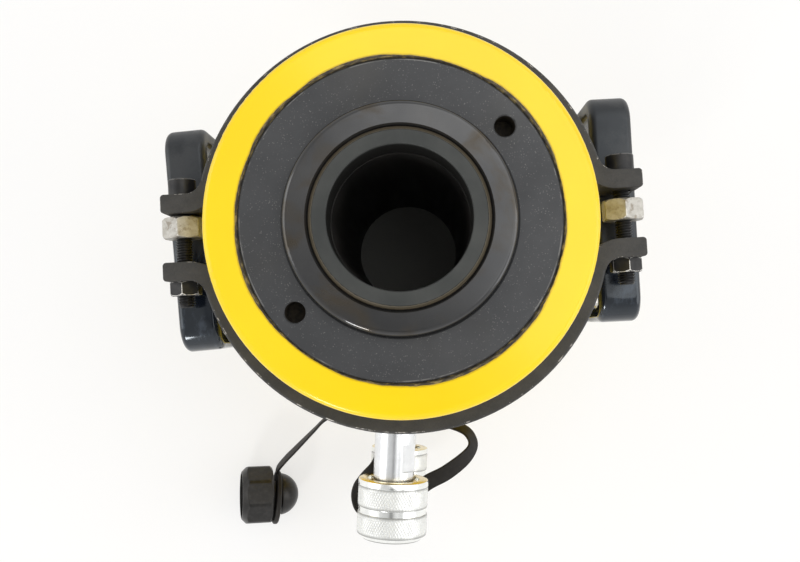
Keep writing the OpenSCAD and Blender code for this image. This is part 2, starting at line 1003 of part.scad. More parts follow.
// The open retaining ring behind the collar's rib
module coupler_clip()
{
    difference() {
        turned_x([
            [clip_rear + static_gap, neck_r - clip_depth + static_gap],
            [clip_rear + static_gap, neck_r + clip_out],
            [clip_front - static_gap, neck_r + clip_out],
            [clip_front - static_gap, neck_r - clip_depth + static_gap]
        ]);
        translate([clip_rear, -clip_gap / 2, -2 * neck_r])
            cube([clip_t, clip_gap, 2 * neck_r]);
    }
}

// The collar that turns on a coupler's body: land, knurled band, groove, knurled band, chamfered end
module coupler_collar()
{
    turned_x([
        [collar_rear, recess_r],
        [collar_rear, collar_r - band_edge],
        [collar_rear + band_edge, collar_r],
        [groove_from, collar_r],
        [groove_from, collar_r - groove_depth],
        [groove_from + groove_l, collar_r - groove_depth],
        [groove_from + groove_l, collar_r],
        [collar_front - front_chamfer, collar_r],
        [collar_front, collar_r - front_chamfer],
        [collar_front, mouth_r],
        [mouth_rear, mouth_r],
        [mouth_rear, relief_r],
        [rib_front, relief_r],
        [rib_front, rib_r],
        [rib_rear, rib_r],
        [rib_rear, recess_r]
    ]);
}

// The sprung valve in a coupler's nose
module coupler_poppet()
{
    turned_x([
        [poppet_rear, 0],
        [poppet_rear, poppet_r],
        [poppet_front, poppet_r],
        [poppet_front, poppet_tip_r],
        [poppet_front + poppet_tip_l, poppet_tip_r],
        [poppet_front + seat_t, poppet_tip_r - poppet_tip_l / 2],
        [poppet_front + seat_t, 0]
    ]);
}

// The spring behind a poppet, as a stack of turns between its two seats
module poppet_spring()
{
    sides = 8;
    steps = 12;
    rings = spring_turns * steps;
    rise = spring_room - spring_wire - 2 * static_gap;
    points = [
        for (i = [0:rings])
            for (j = [0:sides - 1])
                let (
                    turn = 360 * i / steps,
                    along = spring_seat + static_gap + spring_wire / 2 + rise * i / rings,
                    out = spring_r + spring_wire / 2 * cos(360 * j / sides)
                )
                [along + spring_wire / 2 * sin(360 * j / sides), out * cos(turn), out * sin(turn)]
    ];
    faces = concat(
        [[for (j = [0:sides - 1]) j]],
        [
            for (i = [0:rings - 1])
                for (j = [0:sides - 1])
                    let (k = (j + 1) % sides)
                    [i * sides + k, i * sides + j, (i + 1) * sides + j, (i + 1) * sides + k]
        ],
        [[for (j = [sides - 1:-1:0]) rings * sides + j]]
    );
    polyhedron(points, faces, convexity = 8);
}

module upper_coupler_body()
{
    color("silver")
        at_port(upper_port_z)
            coupler_body();
}

module upper_coupler_clip()
{
    color("goldenrod")
        at_port(upper_port_z)
            coupler_clip();
}

module upper_coupler_collar()
{
    color("gainsboro")
        at_port(upper_port_z)
            coupler_collar();
}

module upper_poppet()
{
    color("darkgray")
        at_port(upper_port_z)
            coupler_poppet();
}

module upper_poppet_spring()
{
    color("gray")
        at_port(upper_port_z)
            poppet_spring();
}

module lower_coupler_body()
{
    color("silver")
        at_port(lower_port_z)
            coupler_body();
}

module lower_coupler_clip()
{
    color("goldenrod")
        at_port(lower_port_z)
            coupler_clip();
}

module lower_coupler_collar()
{
    color("gainsboro")
        at_port(lower_port_z)
            coupler_collar();
}

module lower_poppet()
{
    color("darkgray")
        at_port(lower_port_z)
            coupler_poppet();
}

module lower_poppet_spring()
{
    color("gray")
        at_port(lower_port_z)
            poppet_spring();
}

// The strap's loop round the upper coupler's neck
module strap_loop()
{
    loop_r = neck_r + loop_gap;
    color("black")
        at_port(upper_port_z)
            turned_x([
                [strap_loop_x, loop_r],
                [strap_loop_x, loop_r + strap_loop_t],
                [strap_loop_x + strap_loop_w, loop_r + strap_loop_t],
                [strap_loop_x + strap_loop_w, loop_r]
            ]);
}

function unit(v) = v / norm(v);

// A point, or a roll, between the second and third of four route points
function spline(p, t) =
    0.5 * (2 * p[1] + t * (p[2] - p[0])
    + t * t * (2 * p[0] - 5 * p[1] + 4 * p[2] - p[3])
    + t * t * t * (3 * p[1] - p[0] - 3 * p[2] + p[3]));

function route_point(i) =
    let (p = strap_route[max(0, min(len(strap_route) - 1, i))])
    [p[0], -barrel_r - p[1], cap_z + p[2] * (upper_port_z - cap_z), p[3]];

// The strap's section: a flat bar with eased corners, as [across, through] pairs
function strap_section() =
    let (a = strap_w / 2, b = strap_t / 2, c = strap_t / 4)
    [[a, c], [a - c, b], [c - a, b], [-a, c], [-a, -c], [c - a, -b], [a - c, -b], [a, -c]];

// The flat strap, swept along its route with its width rolled as the route says
module cap_strap()
{
    last = len(strap_route) - 1;
    line = [
        for (i = [0:last - 1])
            for (s = [0:strap_steps - 1])
                spline([for (k = [-1:2]) route_point(i + k)], s / strap_steps),
        route_point(last)
    ];
    count = len(line);
    section = strap_section();
    sides = len(section);
    points = [
        for (i = [0:count - 1])
            let (
                here = line[i],
                ahead = line[min(count - 1, i + 1)],
                behind = line[max(0, i - 1)],
                along = unit([for (k = [0:2]) ahead[k] - behind[k]]),
                level = unit(cross(along, [0, 0, 1])),
                up = cross(level, along),
                wide = level * cos(here[3]) + up * sin(here[3]),
                thin = cross(wide, along)
            )
            for (q = section)
                [here[0], here[1], here[2]] + wide * q[0] + thin * q[1]
    ];
    faces = concat(
        [[for (j = [sides - 1:-1:0]) j]],
        [
            for (i = [0:count - 2])
                for (j = [0:sides - 1])
                    let (a = i * sides + j, b = i * sides + (j + 1) % sides)
                    each [[a, b, b + sides], [a, b + sides, a + sides]]
        ],
        [[for (j = [0:sides - 1]) (count - 1) * sides + j]]
    );
    color("black")
        polyhedron(points, faces, convexity = 10);
}

// Puts a piece that is drawn along the cap's own axis where the cap lies
module at_cap()
{
    translate(cap_pos)
        rotate(cap_turn)
            children();
}

// The strap's loop round the cap's neck
module cap_loop()
{
    half = cap_loop_l / 2;
    color("black")
        at_cap()
            translate(cap_loop_at)
                rotate([0, 0, cap_loop_turn])
                    turned_x([
                        [-half, cap_loop_in_r],
                        [-half, cap_loop_r - band_edge],
                        [band_edge - half, cap_loop_r],
                        [half - band_edge, cap_loop_r],
                        [half, cap_loop_r - band_edge],
                        [half, cap_loop_in_r]
                    ]);
}

// The dust cap: an eight-sided cup with turned rims, a neck for the strap's loop and a round knob
module dust_cap()
{
    cap_open = -cap_l;
    color("black")
        at_cap()
            difference() {
                union() {
                    intersection() {
                        rotate([0, -90, 0])
                            rotate([0, 0, 180 / cap_sides + cap_side_turn])
                                cylinder(r = cap_flat_r / cos(180 / cap_sides), h = cap_l, $fn = cap_sides);
                        turned_x([
                            [cap_open, 0],
                            [cap_open, cap_round_r - cap_mouth_ease],
                            [cap_open + cap_mouth_ease, cap_round_r],
                            [-cap_end_ease, cap_round_r],
                            [0, cap_round_r - cap_end_ease],
                            [0, 0]
                        ]);
                    }
                    rotate([0, 90, 0])
                        rotate_extrude() {
                            translate([0, -cap_floor])
                                square([cap_neck_r, cap_floor + cap_neck_l + 1]);
                            intersection() {
                                translate([0, knob_x])
                                    circle(r = knob_r);
                                translate([0, cap_neck_l])
                                    square(knob_d);
                            }
                        }
                }
                translate([cap_open - 1, 0, 0])
                    rotate([0, 90, 0])
                        cylinder(r = cap_flat_r - cap_wall, h = cap_l - cap_floor + 1);
            }
}

cylinder_body();
center_tube();
tube_retainer();
tube_o_ring();
plunger();
piston_head();
saddle_insert();
piston_seal();
piston_bearing();
inner_seal();
inner_bearing();
gland_nut();
gland_o_ring();
rod_seal();
gland_bearing();
wiper_ring();
clamp_half_rear();
clamp_half_front();
clamp_bolts();
clamp_nuts();
spacer_nuts();
handle_left();
handle_right();
handle_screws();
upper_coupler_body();
upper_coupler_clip();
upper_coupler_collar();
upper_poppet();
upper_poppet_spring();
lower_coupler_body();
lower_coupler_clip();
lower_coupler_collar();
lower_poppet();
lower_poppet_spring();
strap_loop();
cap_strap();
cap_loop();
dust_cap();
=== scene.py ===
"""Looks of a hollow plunger cylinder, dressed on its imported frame. Metres, +Z up."""

import json
import math

import bmesh
import bpy
from mathutils import Euler, Matrix, Vector


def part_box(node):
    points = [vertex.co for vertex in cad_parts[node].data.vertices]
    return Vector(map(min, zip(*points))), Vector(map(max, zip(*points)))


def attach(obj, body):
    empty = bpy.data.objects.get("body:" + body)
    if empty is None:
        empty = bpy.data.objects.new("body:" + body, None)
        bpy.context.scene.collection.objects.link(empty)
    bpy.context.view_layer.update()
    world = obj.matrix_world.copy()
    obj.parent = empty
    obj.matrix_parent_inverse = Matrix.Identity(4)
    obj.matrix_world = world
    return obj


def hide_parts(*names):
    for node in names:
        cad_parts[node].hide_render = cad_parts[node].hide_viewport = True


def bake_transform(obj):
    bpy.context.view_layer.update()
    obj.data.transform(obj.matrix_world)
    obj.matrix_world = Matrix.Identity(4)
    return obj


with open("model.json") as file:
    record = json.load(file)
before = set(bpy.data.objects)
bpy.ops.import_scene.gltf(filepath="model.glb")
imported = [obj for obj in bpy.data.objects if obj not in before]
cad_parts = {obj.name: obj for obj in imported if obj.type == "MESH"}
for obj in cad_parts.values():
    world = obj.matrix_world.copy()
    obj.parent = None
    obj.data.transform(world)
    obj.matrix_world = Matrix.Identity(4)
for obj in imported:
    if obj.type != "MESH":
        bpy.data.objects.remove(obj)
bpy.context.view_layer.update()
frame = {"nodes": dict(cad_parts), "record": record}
NODES = frame["nodes"]
MM = 0.001

# Camera, from the nested circles of the photograph
IMAGE_W = 800
FOCAL_PX = 863.4
SENSOR_W = 36.0
CAMERA_NEAR = 10 * MM
CAMERA_AT = Vector((14.75, -52.44, 698.85)) * MM
CAMERA_TURN = Euler([math.radians(a) for a in (2.555, 1.594, 2.303)], "XYZ")

# Room and light: strengths, size of the floor, and square lamps as (name, place, size, watts)
ROOM_LIGHT = 0.62
FLOOR_GLOW = 0.62
CEILING_DARK = 0.35
FLOOR_SIZE = 6.0
SOFTBOXES = (
    ("top_softbox", (0.7, 0.6, 1.8), 1.8, 13),
    ("right_softbox", (1.5, -0.2, 1.0), 1.2, 7),
    ("left_softbox", (-1.5, 0.1, 1.0), 1.2, 6),
    ("front_softbox", (-0.62, -1.45, 1.05), 0.36, 8),
)

# Dark patch overhead, in directions from the cylinder: place, narrowing, core, rim and depth
PATCH_X = -0.03
PATCH_Y = -0.14
PATCH_SQUEEZE = 1.8
PATCH_CORE = 0.06
PATCH_RIM = 0.32
PATCH_DARK = 0.85

# Main heights and radii, read from the frame
BARREL_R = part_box("cylinder_body")[1].x
BARREL_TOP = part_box("cylinder_body")[1].z
PLUNGER_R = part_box("plunger")[1].x
PLUNGER_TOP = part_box("plunger")[1].z
GLAND_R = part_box("gland_nut")[1].x
GLAND_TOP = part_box("gland_nut")[1].z
SADDLE_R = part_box("saddle_insert")[1].x
SADDLE_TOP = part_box("saddle_insert")[1].z
COLLAR_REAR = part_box("upper_coupler_collar")[1].y

# Copies of nodes: distance of doubles, angle of faces that count as flat, length of slivers
DOUBLES = 0.03 * MM
FLAT_ANGLE = math.radians(0.4)
SLIVER = 0.05 * MM

# Angles past which an edge is rounded, or shaded as an edge
ROUND_ANGLE = math.radians(35)
SPACER_ROUND_ANGLE = math.radians(55)
CAP_ROUND_ANGLE = math.radians(20)
SHADE_ANGLE = math.radians(32)
STRAP_SHADE_ANGLE = math.radians(50)

# Widths of the rounded edges
LOOP_EASE = 0.5 * MM
CAP_EASE = 0.4 * MM
BODY_EASE = 0.25 * MM
CLIP_EASE = 0.2 * MM
CLAMP_EASE = 0.5 * MM
BOLT_EASE = 0.3 * MM
SMALL_FASTENER_EASE = 0.35 * MM
SPACER_EASE = 0.6 * MM
HANDLE_EASE = 0.8 * MM

# Crown on the handles' bows: least upward part of a flat top's normal, and steps of (inset, rise)
FACES_UP = 0.99
HANDLE_CROWN = ((3 * MM, 0.35 * MM), (3 * MM, 0.2 * MM))

# Screw threads: steps in a turn, turns to spare before the start, distance of doubles
THREAD_STEPS = 24
THREAD_SPARE = 2
THREAD_DOUBLES = 0.002 * MM

# Clamp bolts: turn of the clamp, distance of a bolt from the axis, seat of its head, end of its shank,
# thread, chamfer, length of the shank in the head, and height above its seat where the head is cut off
CLAMP_TURN = math.radians(5.3)
BOLT_X = 127 * MM
BOLT_SEAT = 24.3 * MM
BOLT_END = -39.7 * MM
BOLT_R = 4.9 * MM
BOLT_PITCH = 1.5 * MM
BOLT_ROOT_R = BOLT_R - 0.61 * BOLT_PITCH
BOLT_CHAMFER = 1.2 * MM
BOLT_IN_HEAD = 1 * MM
HEAD_CUT = 0.05 * MM

# Coupler collar, along its axis from the rear: lands, the inside and the knurled bands
COLLAR_EDGE = 0.3 * MM
REAR_LAND = 3.8 * MM
GROOVE_L = 4.1 * MM
GROOVE_DEPTH = 0.7 * MM
FRONT_CHAMFER = 3 * MM
RECESS_R = 15.7 * MM
RECESS_DEPTH = 3 * MM
RIB_R = 12.38 * MM
RIB_L = 5.7 * MM
RELIEF_R = 17.2 * MM
MOUTH_R = 16.5 * MM
MOUTH_DEPTH = 12.7 * MM
MOUTH_PITCH = 1.8 * MM
KNURL_COUNT = 74
KNURL_ROWS = 8
KNURL_DEPTH = 0.25 * MM
KNURL_FLAT = 0.3 * MM
# Grime and painted shade: its share in the knurl's valleys and in the dark painted lines along each band's
# end rows, and the width of the dark painted line round the front rim
KNURL_GRIME_AND_SHADE = 0.24
KNURL_END_GRIME_AND_SHADE = 0.9
RIM_GRIME_AND_SHADE_W = 0.4 * MM
ON_ROW = 0.01 * MM

# Dust cap: where it lies, its turn, the bore of its cup and the thread in it
CAP_AT = Vector((-98.6, -193.2, 21.3)) * MM
CAP_TURN = Euler((0, math.radians(16), math.radians(2)), "XYZ")
CAP_BORE_R = 16.75 * MM
CAP_ROOT_R = CAP_BORE_R + 0.1 * MM
CAP_THREAD_R = 15.9 * MM
CAP_PITCH = 2.4 * MM
CAP_THREAD_FROM = -21.5 * MM
CAP_THREAD_TO = -8 * MM

# Route of the strap, in millimetres: x, y, z and the roll of its width
STRAP_ROUTE = [
    (4, -114, 154, 0), (2, -121, 153, 0), (-2.5, -129, 152, 4), (-7, -137.9, 151, 12),
    (-11.4, -146.5, 149.5, 22), (-17.5, -153.5, 147, 32), (-22, -160.2, 144, 38), (-23.2, -167, 141.5, 40),
    (-20.8, -174, 139.5, 36), (-14.2, -178, 138, 26), (-3.8, -176.4, 137, 14), (8.1, -167.9, 136, 5),
    (20.8, -157.7, 135.5, 0), (32.8, -151, 134, -6), (44.2, -142.2, 131, -24), (49.6, -135.6, 126.5, -46),
    (49.2, -129.6, 121.5, -56), (44.1, -124.8, 116, -60), (33, -122, 109, -62), (17, -121, 100, -63),
    (0, -121, 91, -63), (-18, -121.5, 81, -63), (-36, -122.5, 71, -70), (-48, -125, 64.5, -79),
    (-56, -129.6, 58, -83), (-64, -138.2, 50.5, -80), (-72, -147, 43.5, -75), (-80, -155.8, 36.5, -71),
    (-88, -164.6, 29, -69), (-94.2, -172.8, 22.5, -70), (-95.8, -179.5, 20, -74),
]
STRAP_STEPS = 8
STRAP_W = 10 * MM
STRAP_T = 1.6 * MM
STRAP_CORNER = 0.42 * STRAP_T


class Wire:
    """A number in a node tree. Arithmetic on it adds Math nodes."""

    def __init__(self, graph, socket):
        self.graph = graph
        self.socket = socket

    def math(self, operation, *values):
        """A Math node on this number and the values."""
        sockets = dict(enumerate((self,) + values))
        made = self.graph.node("ShaderNodeMath", {"operation": operation}, sockets)
        return Wire(self.graph, made.outputs[0])

    def swapped(self, operation, value):
        """A Math node on a value and this number, in that order."""
        made = self.graph.node("ShaderNodeMath", {"operation": operation}, {0: value, 1: self})
        return Wire(self.graph, made.outputs[0])

    def __add__(self, other):
        return self.math("ADD", other)

    __radd__ = __add__

    def __sub__(self, other):
        return self.math("SUBTRACT", other)

    def __rsub__(self, other):
        return self.swapped("SUBTRACT", other)

    def __mul__(self, other):
        return self.math("MULTIPLY", other)

    __rmul__ = __mul__

    def __truediv__(self, other):
        return self.math("DIVIDE", other)

    def __pow__(self, other):
        return self.math("POWER", other)

    def step(self, low, high):
        """0 below low, 1 above high, smooth between."""
        settings = {"interpolation_type": "SMOOTHSTEP"}
        sockets = {"Value": self, "From Min": low, "From Max": high}
        return Wire(self.graph, self.graph.node("ShaderNodeMapRange", settings, sockets).outputs[0])

    def ramp(self, *stops):
        """A colour from stops of (place, colour)."""
        made = self.graph.node("ShaderNodeValToRGB", {"stops": stops}, {"Fac": self})
        return made.outputs["Color"]


class Graph:
    """A node tree, and the way to add nodes to it."""

    def __init__(self, tree):
        self.tree = tree
        tree.nodes.clear()

    def node(self, kind, settings=None, sockets=None):
        """Adds a node; a ramp's stops are one of its settings."""
        made = self.tree.nodes.new(kind)
        for name, value in (settings or {}).items():
            if name == "stops":
                self.set_stops(made.color_ramp, value)
            else:
                setattr(made, name, value)
        for name, value in (sockets or {}).items():
            self.feed(made.inputs[name], value)
        return made

    @staticmethod
    def set_stops(ramp, stops):
        while len(ramp.elements) < len(stops):
            ramp.elements.new(1.0)
        for element, (place, colour) in zip(ramp.elements, stops):
            element.position = place
            element.color = (*colour, 1.0)

    def feed(self, socket, value):
        """Links a socket to a wire, or sets its value."""
        if isinstance(value, Wire):
            value = value.socket
        if isinstance(value, bpy.types.NodeSocket):
            self.tree.links.new(value, socket)
        elif hasattr(value, "__len__") and len(value) == 3 and socket.type == "RGBA":
            socket.default_value = (*value, 1.0)
        else:
            socket.default_value = value

    def seen(self):
        """1 for rays from the camera, also by way of gloss or glass, 0 for the rest of the light."""
        rays = self.node("ShaderNodeLightPath").outputs
        direct = Wire(self, rays["Is Camera Ray"])
        return direct.math("MAXIMUM", rays["Is Glossy Ray"]).math("MAXIMUM", rays["Is Transmission Ray"])


class Finish(Graph):
    """A material: one Principled shader and the nodes that feed it."""

    def __init__(self, name, **constants):
        self.material = bpy.data.materials.new(name)
        self.material.use_nodes = True
        super().__init__(self.material.node_tree)
        self.shader = self.node("ShaderNodeBsdfPrincipled")
        self.output = self.node("ShaderNodeOutputMaterial", {}, {"Surface": self.shader.outputs[0]})
        self.place = self.node("ShaderNodeTexCoord").outputs["Object"]
        split = self.node("ShaderNodeSeparateXYZ", {}, {0: self.place})
        self.x, self.y, self.z = (Wire(self, split.outputs[i]) for i in range(3))
        for socket, value in constants.items():
            self.set(socket.replace("_", " "), value)

    def cover(self, share, shader):
        """Lays another shader over a share of the surface."""
        blend = self.node("ShaderNodeMixShader", {}, {0: share, 1: self.shader.outputs[0], 2: shader})
        self.feed(self.output.inputs["Surface"], blend.outputs[0])

    def set(self, socket, value):
        """Gives a socket of the shader its value."""
        self.feed(self.shader.inputs[socket], value)

    def noise(self, scale, detail=3.0, roughness=0.5, stretch=None, distortion=0.0, place=None):
        """Noise from 0 to 1, on the object's own coordinates or a given place; scale is in cycles a metre."""
        place = place or self.place
        if stretch:
            place = self.node("ShaderNodeMapping", {}, {"Vector": place, "Scale": stretch}).outputs[0]
        sockets = {"Vector": place, "Scale": scale, "Detail": detail, "Roughness": roughness,
                   "Distortion": distortion}
        return Wire(self, self.node("ShaderNodeTexNoise", {}, sockets).outputs[0])

    def specks(self, scale, size):
        """1 inside small scattered specks, 0 elsewhere."""
        made = self.node("ShaderNodeTexVoronoi", {}, {"Vector": self.place, "Scale": scale})
        return 1 - Wire(self, made.outputs["Distance"]).step(0.5 * size, size)

    def radius(self):
        """Distance from the cylinder's axis."""
        return (self.x * self.x + self.y * self.y) ** 0.5

    def round_place(self, spread):
        """A place whose patterns run round the cylinder's axis; spread is how much they change round it."""
        r = self.radius()
        sockets = {0: self.x / r * spread, 1: self.y / r * spread, 2: r}
        return self.node("ShaderNodeCombineXYZ", {}, sockets).outputs[0]

    def mix(self, share, first, second):
        """A colour between two colours."""
        sockets = {0: share, 6: first, 7: second}
        return self.node("ShaderNodeMix", {"data_type": "RGBA"}, sockets).outputs[2]

    def bump(self, height, distance, strength):
        """Raises the look of the surface by a height times a distance."""
        sockets = {"Height": height, "Distance": distance, "Strength": strength}
        self.set("Normal", self.node("ShaderNodeBump", {}, sockets).outputs[0])

    def mark(self, name):
        """A mark that the mesh carries: wear along eased edges, a knurl, and the grime and painted shade down
        in it.
        """
        return Wire(self, self.node("ShaderNodeAttribute", {"attribute_name": name}).outputs["Fac"])


def yellow_enamel():
    """Gloss enamel, scuffed to rusty steel round the gland's seat, stained beside it, chipped at the foot."""
    paint = Finish("yellow_enamel", IOR=1.46, Coat_Weight=0.12, Coat_Roughness=0.05)
    tone = paint.noise(9, 4).step(0.3, 0.75)
    clean = paint.mix(tone, (0.90, 0.62, 0.003), (0.95, 0.68, 0.005))
    scuffed = paint.noise(13, 3).step(0.42, 0.68)
    streaks = paint.noise(900, 4, 0.6, place=paint.round_place(0.02))
    worn_r = GLAND_R + 0.9 * MM + scuffed * (1.5 * MM) + (streaks - 0.5) * (1.2 * MM)
    inside = worn_r - paint.radius()
    mouth = paint.z.step(BARREL_TOP - 12 * MM, BARREL_TOP - 6 * MM)
    worn = inside.step(-0.15 * MM, 0.2 * MM) * mouth
    stained = inside.step(-1.3 * MM, 0.2 * MM) * mouth
    rust = streaks.ramp(
        (0.34, (0.010, 0.008, 0.006)), (0.52, (0.05, 0.038, 0.018)), (0.68, (0.26, 0.19, 0.06)),
    )
    specks = paint.specks(240, 0.05) * paint.noise(30, 2).step(0.52, 0.62)
    dirty = paint.mix(stained * 0.6 + specks * 0.4, clean, (0.26, 0.15, 0.008))
    chipped = (1 - paint.z.step(0.5 * MM, 5 * MM)) * paint.noise(110, 5, 0.7).step(0.52, 0.56)
    bare = worn.math("MAXIMUM", chipped)
    paint.set("Base Color", paint.mix(bare, dirty, rust))
    paint.set("Roughness", 0.16 + 0.08 * paint.noise(60, 3) + 0.4 * bare)
    paint.bump(paint.noise(420, 2) - 2.0 * worn, 0.03 * MM, 0.35)
    return paint


def gland_steel():
    """Satin black oxide with a fine pale grain, a pale line round its edge that is partly wear and partly
    painted highlight, wiped oil, turning marks, and holes darkened by grime and painted shade.
    """
    steel = Finish("gland_steel", Metallic=0.4, IOR=1.5)
    cloud = steel.noise(26, 5, 0.6).step(0.25, 0.8)
    base = steel.mix(cloud, (0.042, 0.043, 0.045), (0.060, 0.061, 0.063))
    grain = steel.specks(800, 0.3) * steel.noise(300, 3).step(0.4, 0.65)
    # A pale ring round the outer edge: partly wear, partly a painted highlight on the edge
    edge_r = GLAND_R - 0.9 * MM
    off_edge = (steel.radius() - edge_r).math("ABSOLUTE")
    edge = (1 - off_edge.step(0.1 * MM, 0.5 * MM)) * steel.noise(45, 4, 0.65).step(0.48, 0.62)
    base = steel.mix(grain * 0.4 + edge * 0.6, base, (0.26, 0.255, 0.24))
    smear = steel.noise(14, 3).step(0.55, 0.8)
    wiped = steel.mix(smear * 0.3, base, (0.066, 0.060, 0.048))
    # Grime and painted shade: everything a little below the top, down in the holes, is painted darker and
    # browner
    grime = steel.noise(520, 4).ramp((0.3, (0.010, 0.007, 0.004)), (0.75, (0.055, 0.040, 0.020)))
    deep = 1 - steel.z.step(GLAND_TOP - 3 * MM, GLAND_TOP - 0.8 * MM)
    steel.set("Base Color", steel.mix(deep * 0.9, wiped, grime))
    steel.set("Roughness", 0.36 + 0.16 * steel.noise(90, 4) + 0.3 * deep)
    turning = (steel.radius() * 9000).math("SINE")
    steel.bump(turning * 0.3 + steel.noise(1100, 3), 0.015 * MM, 0.3)
    return steel


def plunger_steel():
    """Polished dark steel, browned by oil, with fine rings from turning, a bright rim and a plated side."""
    steel = Finish("plunger_steel", Metallic=0.8, IOR=1.6)
    cloud = steel.noise(18, 4, 0.55).step(0.3, 0.75)
    base = steel.mix(cloud, (0.062, 0.063, 0.065), (0.094, 0.093, 0.092))
    oil = steel.noise(42, 5, 0.6, distortion=0.6).step(0.46, 0.72)
    top = steel.mix(oil * 0.75, base, (0.066, 0.053, 0.036))
    plated = 1 - steel.z.step(PLUNGER_TOP - 4 * MM, PLUNGER_TOP - 3 * MM)
    steel.set("Base Color", steel.mix(plated, top, (0.36, 0.36, 0.355)))
    rim = steel.radius().step(PLUNGER_R - 3 * MM, PLUNGER_R - 2 * MM)
    steel.set("Roughness", 0.15 + (0.1 * steel.noise(60, 4) + 0.08 * oil) * (1 - rim) - 0.06 * rim)
    turning = (steel.radius() * 7000).math("SINE")
    steel.bump(turning * 0.4 + steel.noise(500, 3), 0.012 * MM, 0.3)
    return steel


def saddle_steel():
    """Matt dark steel with a greenish cast, a thread round its rim painted as dark lines of shade with brown
    grime between, and painted shade down its hole.
    """
    steel = Finish("saddle_steel", Metallic=0.45, IOR=1.5)
    cloud = steel.noise(40, 5, 0.6).step(0.25, 0.8)
    base = steel.mix(cloud, (0.036, 0.039, 0.037), (0.060, 0.062, 0.058))
    # Thread round the rim: the dark lines at its edges are painted shade of the groove, the brown between is
    # grime
    thread_w = 2.6 * MM
    thread_in = SADDLE_R - thread_w
    across = (steel.radius() - thread_in) / thread_w + 0.25 * (steel.noise(500, 4) - 0.5)
    thread = across.ramp(
        (0.0, (0.010, 0.009, 0.008)), (0.14, (0.010, 0.009, 0.008)), (0.26, (0.14, 0.118, 0.08)),
        (0.50, (0.08, 0.064, 0.040)), (0.70, (0.15, 0.12, 0.075)), (0.92, (0.02, 0.016, 0.012)),
    )
    rim = steel.radius().step(thread_in, thread_in + 0.4 * MM)
    # Painted shade: below the top, down the hole, the steel is painted nearly black
    deep = 1 - steel.z.step(SADDLE_TOP - 5 * MM, SADDLE_TOP - 1.2 * MM)
    threaded = steel.mix(rim * 0.9, base, thread)
    steel.set("Base Color", steel.mix(deep * 0.85, threaded, (0.010, 0.009, 0.008)))
    steel.set("Roughness", 0.46 + 0.15 * steel.noise(120, 4))
    steel.bump(steel.noise(1600, 4), 0.02 * MM, 0.4)
    return steel


def tube_steel():
    """Dark oiled steel inside the through hole."""
    steel = Finish("tube_steel", Metallic=0.4, IOR=1.5)
    streaks = steel.noise(60, 4, stretch=(1, 1, 0.08)).step(0.3, 0.75)
    steel.set("Base Color", steel.mix(streaks, (0.022, 0.021, 0.02), (0.045, 0.041, 0.037)))
    steel.set("Roughness", 0.45 + 0.2 * streaks)
    return steel


def band_steel():
    """Rolled dark steel, matt and grainy, with bright scuffs along its outer edges."""
    steel = Finish("band_steel", Metallic=0.4, IOR=1.5)
    cloud = (0.6 * steel.noise(70, 5, 0.62) + 0.4 * steel.noise(1300, 3, 0.7)).step(0.3, 0.75)
    base = steel.mix(cloud, (0.034, 0.034, 0.033), (0.066, 0.063, 0.059))
    scuff = (steel.mark("wear") * steel.noise(170, 5, 0.75).step(0.54, 0.62)).step(0.1, 0.5)
    steel.set("Base Color", steel.mix(scuff * 0.8, base, (0.42, 0.40, 0.37)))
    steel.set("Roughness", 0.5 + 0.14 * steel.noise(200, 3) - 0.18 * scuff)
    steel.bump(steel.noise(900, 4), 0.03 * MM, 0.4)
    return steel


def black_fastener(name, wear):
    """Black oxide on a bolt or nut; wear is how much its corners are rubbed bright."""
    steel = Finish(name, Metallic=0.5, IOR=1.5)
    cloud = steel.noise(240, 4).step(0.3, 0.75)
    base = steel.mix(cloud, (0.018, 0.018, 0.019), (0.034, 0.033, 0.032))
    rubbed = (steel.mark("wear") * steel.noise(420, 4, 0.7).step(0.36, 0.52)).step(0.05, 0.4) * wear
    steel.set("Base Color", steel.mix(rubbed, base, (0.82, 0.80, 0.76)))
    steel.set("Roughness", 0.34 + 0.2 * steel.noise(300, 3))
    steel.bump(steel.noise(1500, 3), 0.015 * MM, 0.4)
    return steel


def cream_zinc():
    """Old zinc plate on the spacer nuts, dulled to grey cream, with brown mottles and scuffed corners."""
    zinc = Finish("spacer_zinc", Metallic=0.55, IOR=1.5)
    cloud = zinc.noise(240, 5, 0.65).step(0.3, 0.72)
    base = zinc.mix(cloud, (0.36, 0.34, 0.30), (0.54, 0.525, 0.485))
    stain = zinc.noise(260, 5, 0.7).step(0.5, 0.66)
    dull = zinc.mix(stain * 0.6, base, (0.17, 0.13, 0.085))
    rubbed = zinc.mark("wear") * zinc.noise(300, 4, 0.7).step(0.4, 0.6)
    zinc.set("Base Color", zinc.mix(rubbed, dull, (0.78, 0.77, 0.74)))
    zinc.set("Roughness", 0.34 + 0.22 * cloud)
    zinc.bump(zinc.noise(900, 4), 0.03 * MM, 0.4)
    return zinc


